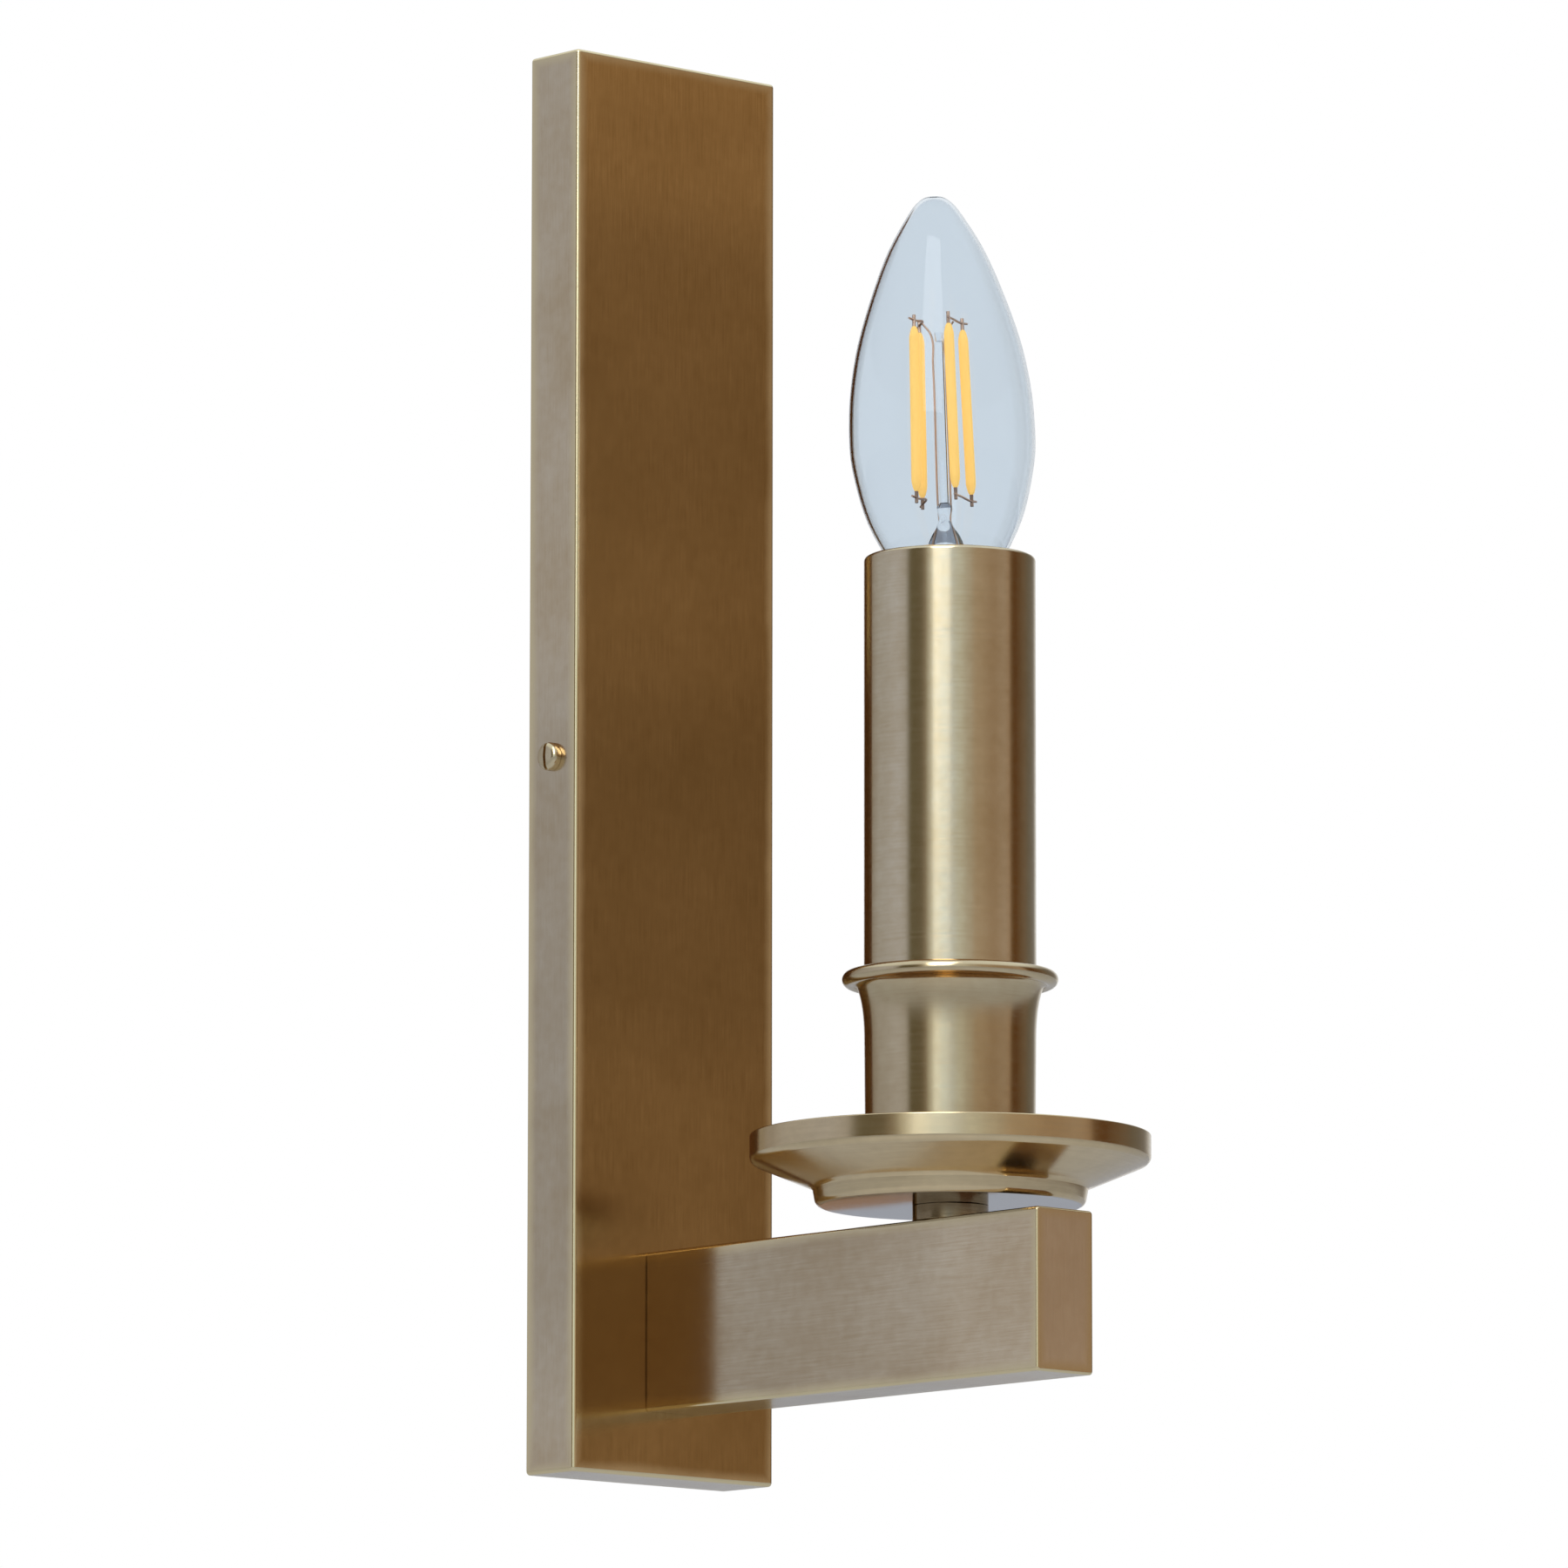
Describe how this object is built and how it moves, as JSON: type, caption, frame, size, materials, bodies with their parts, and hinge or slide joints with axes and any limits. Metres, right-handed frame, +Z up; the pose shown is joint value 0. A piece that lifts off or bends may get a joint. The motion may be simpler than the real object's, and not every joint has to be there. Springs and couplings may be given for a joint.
{
  "type": "wall sconce candle holder",
  "caption": "Candle-style electric wall light: tall narrow wall plate, flat rectangular arm, turned drip pan and cup, tube and candle-shaped filament lamp.",
  "frame": {"origin": "on the wall plane, at the middle of the wall bracket's back face", "axes": "+Z up, -Y out from the wall towards the room, +X to the right seen from the wall's side of the room facing +Y"},
  "size_m": [0.0748, 0.128, 0.274],
  "materials": {
    "cover_brass": "brushed antique brass, vertical grain, darker with rubbed edges",
    "arm_brass": "brushed antique brass, grain along the arm",
    "turned_brass": "turned antique brass, fine rings around the axis",
    "tube_brass": "satin antique brass tube, fine grain around it",
    "dark_brass": "dark bronzed brass",
    "plain_brass": "plain machined brass",
    "zinc_steel": "zinc-plated sheet steel",
    "nickel": "nickel-plated",
    "black_plastic": "black thermoplastic",
    "white_plastic": "off-white nylon",
    "clear_glass": "clear blown glass",
    "black_glass": "black insulating glass",
    "phosphor": "yellow-orange phosphor coating, unlit",
    "circuit_board": "green circuit board",
    "brown_sleeve": "brown wire insulation",
    "blue_sleeve": "blue wire insulation",
    "green_sleeve": "green wire insulation with a yellow stripe"
  },
  "bodies": {
    "fixture": {"wall_bracket": "zinc_steel", "backplate_cover": "cover_brass", "bracket_earth_screw": "plain_brass", "terminal_block": "white_plastic", "terminal_block_screw": "nickel", "terminal_tube_1": "plain_brass", "terminal_tube_2": "plain_brass", "terminal_tube_3": "plain_brass", "terminal_screw_1a": "nickel", "terminal_screw_1b": "nickel", "terminal_screw_2a": "nickel", "terminal_screw_2b": "nickel", "terminal_screw_3a": "nickel", "terminal_screw_3b": "nickel", "live_wire": "brown_sleeve", "neutral_wire": "blue_sleeve", "earth_wire": "green_sleeve", "arm_tube": "arm_brass", "arm_end_cap": "arm_brass", "arm_mount_block": "plain_brass", "thread_block": "plain_brass", "arm_screw_lower": "nickel", "arm_screw_upper": "nickel", "wire_bushing": "black_plastic", "threaded_nipple": "plain_brass", "collar": "dark_brass", "drip_pan": "turned_brass", "candle_cup": "turned_brass", "cup_washer": "nickel", "cup_nut": "plain_brass", "candle_tube": "tube_brass", "lampholder_stalk": "black_plastic", "lampholder_body": "black_plastic", "lampholder_shell": "nickel", "lampholder_contact": "plain_brass"},
    "lamp_lift": {"bulb_contact_tip": "nickel"},
    "lamp": {"cap_insulator": "black_glass", "bulb_cap": "nickel", "driver_board": "circuit_board", "bulb_glass": "clear_glass", "bulb_stem": "clear_glass", "filament_1": "phosphor", "filament_2": "phosphor", "filament_3": "phosphor", "filament_4": "phosphor", "filament_link_top_left": "nickel", "filament_link_top_right": "nickel", "filament_link_bottom_left": "nickel", "filament_link_bottom_right": "nickel", "support_wire_left": "nickel", "support_wire_right": "nickel"},
    "left_screw": {"side_screw_left": "dark_brass"},
    "right_screw": {"side_screw_right": "dark_brass"}
  },
  "joints": [
    {"name": "bulb_rise", "type": "slide", "parent": "fixture", "child": "lamp_lift", "axis": [0, 0, 1], "range_m": [0, 0.01129]},
    {"name": "bulb_turn", "type": "hinge", "parent": "lamp_lift", "child": "lamp", "pos_m": [0, -0.0906, 0], "axis": [0, 0, 1], "range_deg": [0, 1440]},
    {"name": "side_screw_left_out", "type": "slide", "parent": "fixture", "child": "left_screw", "axis": [-1, 0, 0], "range_m": [0, 0.008]},
    {"name": "side_screw_right_out", "type": "slide", "parent": "fixture", "child": "right_screw", "axis": [1, 0, 0], "range_m": [0, 0.008]}
  ],
  "couplings": [
    {"joint": "bulb_rise", "follows": "bulb_turn", "m_per_rad": 0.00044917}
  ]
}
